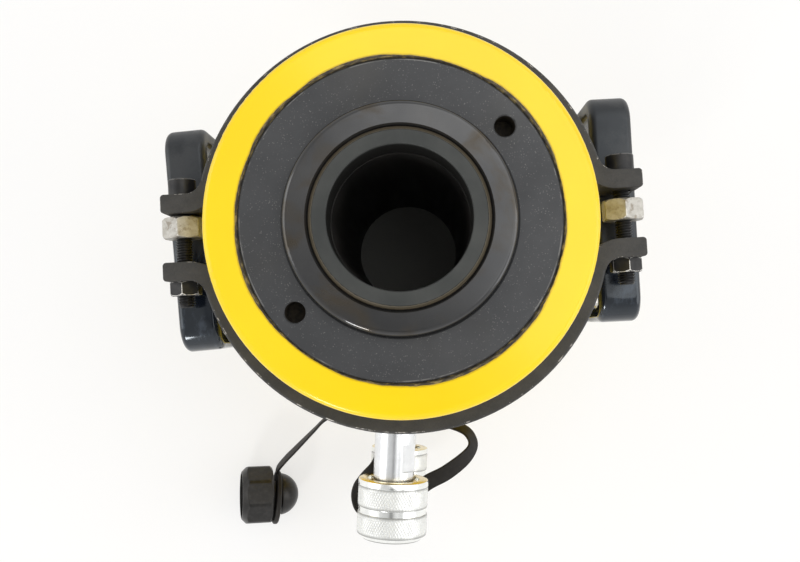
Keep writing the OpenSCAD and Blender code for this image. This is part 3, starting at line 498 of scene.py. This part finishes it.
def handle_enamel():
    """Thick black enamel, rubbed satin over the rear half of the bow; painted light makes the rear half a
    lighter grey and the glossy front half darker and bluer, with pale patches of painted reflection.
    """
    paint = Finish("handle_enamel", IOR=1.5, Specular_Tint=(0.84, 0.93, 1.0))
    cloud = paint.noise(50, 4).step(0.3, 0.75)
    # Painted light: the rear half is painted a lighter grey and the front half darker and bluer, for how
    # light falls on the two ends of the bow; the rear half is also rougher
    rubbed = (paint.y + (paint.noise(60, 3) - 0.5) * (60 * MM)).step(-35 * MM, 5 * MM)
    front_shaded = paint.mix(cloud, (0.004, 0.006, 0.010), (0.010, 0.013, 0.019))
    # Painted reflection: pale bluish patches on the glossy front half
    painted_reflection = paint.noise(110, 5, 0.68, stretch=(1, 0.5, 1)).step(0.5, 0.72)
    front_shaded_reflected = paint.mix(painted_reflection * 0.5, front_shaded, (0.075, 0.092, 0.12))
    grain = (0.5 * cloud + 0.5 * paint.noise(900, 4, 0.7)).step(0.3, 0.7)
    dull = paint.mix(grain, (0.015, 0.0145, 0.015), (0.034, 0.033, 0.033))
    paint.set("Base Color", paint.mix(rubbed, front_shaded_reflected, dull))
    paint.set("Roughness", 0.08 + 0.3 * rubbed + 0.06 * paint.noise(130, 5, 0.65) + 0.08 * painted_reflection)
    paint.set("Coat Weight", 0.3 - 0.25 * rubbed)
    paint.bump(paint.noise(70, 2), 0.08 * MM, 0.3)
    return paint


def bright_zinc(name, tint, rough):
    """Bright zinc plate with faint clouding and small dull specks."""
    zinc = Finish(name, Metallic=1.0)
    cloud = zinc.noise(140, 4, 0.6).step(0.3, 0.75)
    plate = zinc.mix(cloud, tuple(0.9 * c for c in tint), tint)
    dull = zinc.specks(700, 0.08) * zinc.noise(200, 2).step(0.5, 0.6)
    zinc.set("Base Color", zinc.mix(dull * 0.5, plate, tuple(0.45 * c for c in tint)))
    zinc.set("Roughness", rough + 0.08 * zinc.noise(90, 4))
    return zinc


def collar_zinc():
    """Bright zinc plate on the collars, whitish, darkened by grime and painted shade in the knurl's valleys
    and along its edges, gold on their rear faces.
    """
    zinc = bright_zinc("collar_zinc", (0.965, 0.975, 0.95), 0.18)
    plate = zinc.shader.inputs["Base Color"].links[0].from_socket
    grime = zinc.mark("grime")
    rear = zinc.y.step(COLLAR_REAR - 0.5 * MM, COLLAR_REAR - 0.2 * MM)
    # Grime and painted shade: the knurl's valleys, band ends and front rim are painted darker grey
    dulled = zinc.mix(grime * 0.85, plate, (0.17, 0.17, 0.16))
    zinc.set("Base Color", zinc.mix(rear * 0.8, dulled, (0.78, 0.62, 0.26)))
    zinc.set("Roughness", 0.2 + 0.2 * grime)
    zinc.set("Metallic", 1 - 0.55 * zinc.mark("knurl"))
    return zinc


def seal_rubber():
    """Matt black seal rubber."""
    rubber = Finish("seal_rubber", IOR=1.5)
    rubber.set("Base Color", rubber.mix(rubber.noise(200, 3), (0.012, 0.012, 0.012), (0.03, 0.029, 0.028)))
    rubber.set("Roughness", 0.6 + 0.2 * rubber.noise(400, 3))
    return rubber


def bearing_bronze():
    """Bronze-filled bearing strip."""
    bronze = Finish("bearing_bronze", Metallic=0.7)
    bronze.set("Base Color", bronze.mix(bronze.noise(300, 4), (0.36, 0.22, 0.09), (0.55, 0.38, 0.18)))
    bronze.set("Roughness", 0.42 + 0.2 * bronze.noise(500, 3))
    return bronze


def moulded_plastic(name, low, high, rough):
    """Satin black plastic with a fine moulded grain and some dust."""
    plastic = Finish(name, IOR=1.38, Specular_Tint=(1.0, 0.96, 0.92))
    dust = plastic.noise(260, 5, 0.7).step(0.35, 0.8)
    plastic.set("Base Color", plastic.mix(dust, low, high))
    plastic.set("Roughness", rough + 0.14 * plastic.noise(300, 4))
    plastic.bump(plastic.noise(2600, 3), 0.02 * MM, 0.45)
    return plastic


FINISHES = {
    "yellow_enamel": yellow_enamel(),
    "gland_steel": gland_steel(),
    "plunger_steel": plunger_steel(),
    "saddle_steel": saddle_steel(),
    "tube_steel": tube_steel(),
    "band_steel": band_steel(),
    "bolt_steel": black_fastener("bolt_steel", 0.15),
    "nut_steel": black_fastener("nut_steel", 0.9),
    "spacer_zinc": cream_zinc(),
    "handle_enamel": handle_enamel(),
    "neck_zinc": bright_zinc("neck_zinc", (0.91, 0.92, 0.93), 0.22),
    "collar_zinc": collar_zinc(),
    "clip_yellow_zinc": bright_zinc("clip_yellow_zinc", (0.80, 0.62, 0.28), 0.2),
    "poppet_steel": bright_zinc("poppet_steel", (0.6, 0.6, 0.6), 0.25),
    "spring_steel": bright_zinc("spring_steel", (0.4, 0.4, 0.41), 0.3),
    "bearing_bronze": bearing_bronze(),
    "seal_rubber": seal_rubber(),
    "strap_plastic": moulded_plastic("strap_plastic", (0.007, 0.006, 0.005), (0.015, 0.013, 0.011), 0.5),
    "cap_plastic": moulded_plastic("cap_plastic", (0.010, 0.010, 0.010), (0.026, 0.025, 0.024), 0.24),
}
SLOT_OF = {part["node"]: part["material_slot"] for part in frame["record"]["subparts"]}
BODY_OF = {node: body for body, nodes in frame["record"]["behaviour"]["bodies"].items() for node in nodes}


def dress_frame():
    """Gives every node of the frame its finish."""
    for name, obj in NODES.items():
        obj.data.materials.clear()
        obj.data.materials.append(FINISHES[SLOT_OF[name]].material)


def mark_sharp(bm, angle):
    """Smooths a mesh, apart from edges sharper than the angle."""
    for face in bm.faces:
        face.smooth = True
    for edge in bm.edges:
        edge.smooth = len(edge.link_faces) != 2 or edge.calc_face_angle(0.0) < angle


def stand_for(bm, name, node, sharp=SHADE_ANGLE, rides=True):
    """Makes a piece that stands for a node of the frame, with its finish, and rides on its body."""
    mark_sharp(bm, sharp)
    mesh = bpy.data.meshes.new(name)
    bm.to_mesh(mesh)
    bm.free()
    piece = bpy.data.objects.new(name, mesh)
    bpy.context.scene.collection.objects.link(piece)
    slot = SLOT_OF[node]
    mesh.materials.append(FINISHES[slot].material)
    if rides:
        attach(piece, BODY_OF[node])
    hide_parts(node)
    return piece


def merged_copy(node):
    """A copy of a node's mesh, with its triangles joined and its flat faces whole."""
    bm = bmesh.new()
    bm.from_mesh(NODES[node].data)
    bmesh.ops.remove_doubles(bm, verts=bm.verts, dist=DOUBLES)
    bmesh.ops.dissolve_limit(bm, angle_limit=FLAT_ANGLE, verts=bm.verts, edges=bm.edges)
    bmesh.ops.dissolve_degenerate(bm, edges=bm.edges, dist=SLIVER)
    return bm


def round_edges(bm, width, sharp=ROUND_ANGLE):
    """Rounds the sharp edges of a mesh, and marks the middle of each rounding as worn."""
    edges = [e for e in bm.edges if len(e.link_faces) == 2 and e.calc_face_angle(0.0) > sharp]
    made = bmesh.ops.bevel(
        bm, geom=edges, offset=width, offset_type="OFFSET", segments=2, profile=0.5,
        affect="EDGES", clamp_overlap=False, material=-1,
    )
    rounded = set(made["faces"])
    worn = bm.verts.layers.float.new("wear")
    for vert in bm.verts:
        vert[worn] = float(all(face in rounded for face in vert.link_faces))


def eased(node, width, sharp=ROUND_ANGLE):
    """A piece like its node, with eased edges."""
    bm = merged_copy(node)
    round_edges(bm, width, sharp)
    return even_shading(stand_for(bm, node + "_eased", node))


def crowned_handle(node):
    """A handle with eased edges, its bow's flat top raised to a slight crown."""
    bm = merged_copy(node)
    round_edges(bm, HANDLE_EASE)
    tops = [face for face in bm.faces if face.normal.z > FACES_UP]
    top = max(tops, key=lambda face: face.calc_area())
    for inset, rise in HANDLE_CROWN:
        bmesh.ops.inset_region(bm, faces=[top], thickness=inset, depth=rise, use_even_offset=True)
    stand_for(bm, node + "_crowned", node)


def even_shading(piece):
    """Shades a piece's large faces as flat, up to the edges that are rounded."""
    normals = piece.modifiers.new("even_shading", "WEIGHTED_NORMAL")
    normals.keep_sharp = True
    return piece


def join(bm, other):
    """Adds another mesh to a mesh."""
    mesh = bpy.data.meshes.new("joined")
    other.to_mesh(mesh)
    other.free()
    bm.from_mesh(mesh)
    bpy.data.meshes.remove(mesh)


def screw_thread(root, crest, pitch, low, high):
    """A screw thread along Z, from low to high, open at both ends, and the edges of those ends."""
    profile = ((root, 0.0), (root, 0.12), (crest, 0.44), (crest, 0.56), (root, 0.88), (root, 1.0))
    turns = math.ceil((high - low) / pitch) + THREAD_SPARE + 1
    bm = bmesh.new()
    verts = [bm.verts.new((r, 0.0, low + (share - THREAD_SPARE) * pitch)) for r, share in profile]
    edges = [bm.edges.new(pair) for pair in zip(verts, verts[1:])]
    bmesh.ops.spin(
        bm, geom=verts + edges, cent=(0, 0, 0), axis=(0, 0, 1), dvec=(0, 0, pitch / THREAD_STEPS),
        angle=math.tau * turns, steps=turns * THREAD_STEPS,
    )
    bmesh.ops.remove_doubles(bm, verts=bm.verts, dist=THREAD_DOUBLES)
    ends = []
    for height, side in ((low, -1), (high, 1)):
        whole = bm.verts[:] + bm.edges[:] + bm.faces[:]
        cut = bmesh.ops.bisect_plane(bm, geom=whole, plane_co=(0, 0, height), plane_no=(0, 0, side),
                                     clear_outer=True)
        ends += [e for e in cut["geom_cut"] if isinstance(e, bmesh.types.BMEdge)]
    return bm, ends


def bolt_shank():
    """The threaded shank of a clamp bolt, along Z, with its end chamfered."""
    bm, ends = screw_thread(BOLT_ROOT_R, BOLT_R, BOLT_PITCH, BOLT_END, BOLT_SEAT + BOLT_IN_HEAD)
    for vert in bm.verts:
        limit = BOLT_R - BOLT_CHAMFER + (vert.co.z - BOLT_END)
        radius = vert.co.xy.length
        if radius > limit:
            vert.co.xy *= limit / radius
    bmesh.ops.holes_fill(bm, edges=ends)
    bmesh.ops.recalc_face_normals(bm, faces=bm.faces)
    return bm


def clamp_bolts():
    """Both clamp bolts: the nodes' heads on threaded shanks."""
    low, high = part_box("clamp_bolts")
    rear = Matrix.Rotation(CLAMP_TURN, 4, "Z") @ Vector((0, 1, 0))
    bm = merged_copy("clamp_bolts")
    whole = bm.verts[:] + bm.edges[:] + bm.faces[:]
    cut = bmesh.ops.bisect_plane(bm, geom=whole, plane_co=rear * (BOLT_SEAT + HEAD_CUT), plane_no=rear,
                                 clear_inner=True)
    bmesh.ops.holes_fill(bm, edges=[e for e in cut["geom_cut"] if isinstance(e, bmesh.types.BMEdge)])
    round_edges(bm, BOLT_EASE)
    for side in (-1, 1):
        place = Matrix.Rotation(CLAMP_TURN, 4, "Z")
        place @= Matrix.Translation((side * BOLT_X, 0, (low.z + high.z) / 2))
        place @= Matrix.Rotation(math.radians(-90), 4, "X")
        shank = bolt_shank()
        bmesh.ops.transform(shank, matrix=place, verts=shank.verts)
        join(bm, shank)
    even_shading(stand_for(bm, "clamp_bolts_threaded", "clamp_bolts"))


def collar_outline(length, radius):
    """Half section of a collar, as (distance from the rear, radius), once round, with its knurled rows."""
    edge = COLLAR_EDGE
    band = knurl_length(length)
    row = band / KNURL_ROWS
    groove = REAR_LAND + band
    front_band = groove + GROOVE_L
    outline = [(0, radius - 3 * edge), (edge, radius - edge), (3 * edge, radius), (REAR_LAND - edge, radius)]
    outline += [(REAR_LAND + i * row, radius) for i in range(KNURL_ROWS + 1)]
    outline += [(groove + edge, radius - GROOVE_DEPTH), (front_band - edge, radius - GROOVE_DEPTH)]
    outline += [(front_band + i * row, radius) for i in range(KNURL_ROWS + 1)]
    front_r = radius - FRONT_CHAMFER
    outline += [(length - FRONT_CHAMFER + edge, radius - edge), (length - 3 * edge, front_r + 2 * edge)]
    outline += [(length - edge, front_r), (length, front_r - edge)]
    thread_from = length - 2 * edge
    turns = int((MOUTH_DEPTH - 2 * edge) / MOUTH_PITCH)
    for turn in range(turns):
        outline.append((thread_from - turn * MOUTH_PITCH, RELIEF_R))
        outline.append((thread_from - (turn + 0.5) * MOUTH_PITCH, MOUTH_R))
    rib_front = RECESS_DEPTH + RIB_L
    outline += [(length - MOUTH_DEPTH, RELIEF_R), (rib_front, RELIEF_R), (rib_front, RIB_R)]
    outline += [(RECESS_DEPTH, RIB_R), (RECESS_DEPTH, RECESS_R), (0, RECESS_R)]
    return outline


def knurl_length(length):
    """Length of one of a collar's two knurled bands."""
    return (length - REAR_LAND - GROOVE_L - FRONT_CHAMFER) / 2


def knurled_collar(node):
    """A coupler's collar, turned from its half section, with diamonds raised on its knurled bands."""
    low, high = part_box(node)
    length = high.y - low.y
    radius = (high.z - low.z) / 2
    centre = Vector((0, high.y, (low.z + high.z) / 2))
    bm = bmesh.new()
    grime = bm.verts.layers.float.new("grime")
    knurl = bm.verts.layers.float.new("knurl")
    verts = [bm.verts.new(centre + Vector((0, -along, r))) for along, r in collar_outline(length, radius)]
    edges = [bm.edges.new(pair) for pair in zip(verts, verts[1:] + verts[:1])]
    bmesh.ops.spin(bm, geom=verts + edges, cent=centre, axis=(0, 1, 0), angle=math.tau,
                   steps=2 * KNURL_COUNT, use_merge=True)
    bmesh.ops.recalc_face_normals(bm, faces=bm.faces)
    row_l = knurl_length(length) / KNURL_ROWS
    valleys = []
    peaks = []
    for vert in bm.verts:
        out = vert.co - centre
        along = -out.y
        out.y = 0
        row = knurl_row(along, length, row_l)
        # Painted shade and grime: a dark line round the front rim, and darker valleys and end rows in the
        # knurl
        if along > length - RIM_GRIME_AND_SHADE_W and out.length > radius - FRONT_CHAMFER - RIM_GRIME_AND_SHADE_W:
            vert[grime] = 1.0
        if row is None or abs(out.length - radius) > ON_ROW:
            continue
        vert[knurl] = 1.0
        step = round(math.atan2(out.x, out.z) / (math.pi / KNURL_COUNT))
        end_row = row in (0, KNURL_ROWS)
        if end_row or (row + step) % 2 == 0:
            vert.co -= out.normalized() * KNURL_DEPTH
            vert[grime] = KNURL_END_GRIME_AND_SHADE if end_row else KNURL_GRIME_AND_SHADE
            valleys.append(vert)
        else:
            peaks.append(vert)
    bmesh.ops.connect_verts(bm, verts=valleys)
    bmesh.ops.bevel(bm, geom=peaks, offset=KNURL_FLAT, offset_type="OFFSET", segments=1, profile=0.5,
                    affect="VERTICES", clamp_overlap=True, material=-1)
    stand_for(bm, node + "_knurled", node)


def knurl_row(along, length, row_l):
    """The row of a knurled band that a distance from the collar's rear falls on, if any."""
    for start in (REAR_LAND, REAR_LAND + knurl_length(length) + GROOVE_L):
        row = round((along - start) / row_l)
        if 0 <= row <= KNURL_ROWS and abs(along - start - row * row_l) < ON_ROW:
            return row
    return None


def poppet_spring(side):
    """A coupler's poppet spring, as a copy of its node that rides on no body."""
    node = side + "_poppet_spring"
    spring = stand_for(merged_copy(node), node + "_wound", node, rides=False)
    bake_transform(spring)


def dust_cap():
    """The dust cap with eased edges, and a thread in its cup."""
    bm = merged_copy("dust_cap")
    round_edges(bm, CAP_EASE, CAP_ROUND_ANGLE)
    thread, ends = screw_thread(CAP_ROOT_R, CAP_THREAD_R, CAP_PITCH, CAP_THREAD_FROM, CAP_THREAD_TO)
    walls = bmesh.ops.extrude_edge_only(thread, edges=ends)
    for vert in walls["geom"]:
        if isinstance(vert, bmesh.types.BMVert):
            vert.co.xy *= CAP_ROOT_R / vert.co.xy.length
    bmesh.ops.remove_doubles(thread, verts=thread.verts, dist=THREAD_DOUBLES)
    bmesh.ops.recalc_face_normals(thread, faces=thread.faces)
    bmesh.ops.reverse_faces(thread, faces=thread.faces)
    place = Matrix.Translation(CAP_AT) @ CAP_TURN.to_matrix().to_4x4()
    place @= Matrix.Rotation(math.radians(90), 4, "Y")
    bmesh.ops.transform(thread, matrix=place, verts=thread.verts)
    join(bm, thread)
    return even_shading(stand_for(bm, "dust_cap_eased", "dust_cap"))


def smooth_route(points, steps):
    """A smooth line through the points of the strap's route."""
    line = []
    last = len(points) - 1
    for i in range(last):
        a, b, c, d = (Vector(points[max(0, min(last, i + k))]) for k in (-1, 0, 1, 2))
        for s in range(steps):
            t = s / steps
            line.append(0.5 * (2 * b + t * (c - a) + t * t * (2 * a - 5 * b + 4 * c - d)
                               + t ** 3 * (3 * b - a - 3 * c + d)))
    line.append(Vector(points[last]))
    return line


def strap_section():
    """The strap's section, across and through, with its corners rounded."""
    points = []
    for side_x, side_y, start in ((1, 1, 0), (-1, 1, 90), (-1, -1, 180), (1, -1, 270)):
        for turn in (0, 30, 60, 90):
            angle = math.radians(start + turn)
            across = side_x * (STRAP_W / 2 - STRAP_CORNER) + STRAP_CORNER * math.cos(angle)
            through = side_y * (STRAP_T / 2 - STRAP_CORNER) + STRAP_CORNER * math.sin(angle)
            points.append((across, through))
    return points


def cap_strap(*ends):
    """The flat strap from the coupler's neck to the dust cap; ends, the pieces on its two ends, is not used.
    """
    rolled = smooth_route(STRAP_ROUTE, STRAP_STEPS)
    line = [Vector(p[:3]) * MM for p in rolled]
    section = strap_section()
    bm = bmesh.new()
    rings = []
    for i, here in enumerate(line):
        along = (line[min(len(line) - 1, i + 1)] - line[max(0, i - 1)]).normalized()
        level = along.cross(Vector((0, 0, 1))).normalized()
        up = level.cross(along)
        roll = math.radians(rolled[i][3])
        wide = level * math.cos(roll) + up * math.sin(roll)
        thin = wide.cross(along)
        rings.append([bm.verts.new(here + wide * a + thin * b) for a, b in section])
    for first, second in zip(rings, rings[1:]):
        for j in range(len(section)):
            k = (j + 1) % len(section)
            bm.faces.new((first[j], first[k], second[k], second[j]))
    bm.faces.new(rings[0])
    bm.faces.new(rings[-1])
    bmesh.ops.recalc_face_normals(bm, faces=bm.faces)
    strap = stand_for(bm, "strap", "cap_strap", sharp=STRAP_SHADE_ANGLE)


def pale_floor():
    """A pale floor that stays white in view, apart from the shadow, with painted shade at the foot of the
    bore.
    """
    floor = Finish("pale_floor", Roughness=0.9)
    # Painted shade: inside the barrel's radius the floor is painted dark grey and the glow is held off
    clear = floor.radius().step(BARREL_R - 6 * MM, BARREL_R)
    pale = floor.mix(floor.noise(4, 3), (0.88, 0.875, 0.865), (0.92, 0.915, 0.905))
    floor.set("Base Color", floor.mix(clear, (0.3, 0.3, 0.28), pale))
    glow = floor.node("ShaderNodeEmission", {}, {"Color": (1, 0.995, 0.985)}).outputs[0]
    floor.cover(floor.seen() * clear * FLOOR_GLOW, glow)
    return floor.material


def soft_room():
    """A white room with pale walls, a darker ceiling and a dark patch overhead."""
    world = bpy.data.worlds.new("soft_room")
    world.use_nodes = True
    room = Graph(world.node_tree)
    sight = room.node("ShaderNodeTexCoord").outputs["Generated"]
    split = room.node("ShaderNodeSeparateXYZ", {}, {0: sight}).outputs
    x, y, height = (Wire(room, socket) for socket in split)
    off_patch = ((PATCH_SQUEEZE * (x - PATCH_X)) ** 2 + (y - PATCH_Y) ** 2) ** 0.5
    patch = (1 - off_patch.step(PATCH_CORE, PATCH_RIM)) * height.step(0.0, 0.5)
    walls = (1 - CEILING_DARK * height.step(0.3, 0.9)) * (1 - PATCH_DARK * patch)
    strength = ROOM_LIGHT + room.seen() * (walls - ROOM_LIGHT)
    sky = room.node("ShaderNodeBackground", {}, {"Color": (1, 1, 1), "Strength": strength})
    room.node("ShaderNodeOutputWorld", {}, {"Surface": sky.outputs[0]})
    bpy.context.scene.world = world


def studio():
    """Pale floor, soft light and the photograph's camera."""
    bpy.ops.mesh.primitive_plane_add(size=FLOOR_SIZE)
    floor = bpy.context.object
    floor.name = "floor"
    floor.data.materials.append(pale_floor())
    soft_room()
    for name, place, size, power in SOFTBOXES:
        add_softbox(name, place, size, power)

    camera = bpy.data.objects.new("camera", bpy.data.cameras.new("camera"))
    camera.data.sensor_fit = "HORIZONTAL"
    camera.data.sensor_width = SENSOR_W
    camera.data.lens = SENSOR_W * FOCAL_PX / IMAGE_W
    camera.data.clip_start = CAMERA_NEAR
    camera.location = CAMERA_AT
    camera.rotation_euler = CAMERA_TURN
    bpy.context.scene.collection.objects.link(camera)
    bpy.context.scene.camera = camera
    bpy.context.scene.view_settings.view_transform = "Standard"


def add_softbox(name, place, size, power):
    """A square lamp that faces the cylinder's top."""
    lamp = bpy.data.lights.new(name, "AREA")
    lamp.shape = "SQUARE"
    lamp.size = size
    lamp.energy = power
    obj = bpy.data.objects.new(name, lamp)
    obj.location = place
    aim = Vector((0, 0, PLUNGER_TOP)) - Vector(place)
    obj.rotation_euler = aim.to_track_quat("-Z", "Y").to_euler()
    bpy.context.scene.collection.objects.link(obj)


studio()
dress_frame()
cap_strap(eased("strap_loop", LOOP_EASE), eased("cap_loop", LOOP_EASE), dust_cap())
clamp_bolts()
for side in ("upper", "lower"):
    knurled_collar(side + "_coupler_collar")
    poppet_spring(side)
    eased(side + "_coupler_body", BODY_EASE)
    eased(side + "_coupler_clip", CLIP_EASE)
for clamp_half in ("clamp_half_rear", "clamp_half_front"):
    eased(clamp_half, CLAMP_EASE)
for fastener in ("clamp_nuts", "handle_screws"):
    eased(fastener, SMALL_FASTENER_EASE)
eased("spacer_nuts", SPACER_EASE, SPACER_ROUND_ANGLE)
for handle in ("handle_left", "handle_right"):
    crowned_handle(handle)
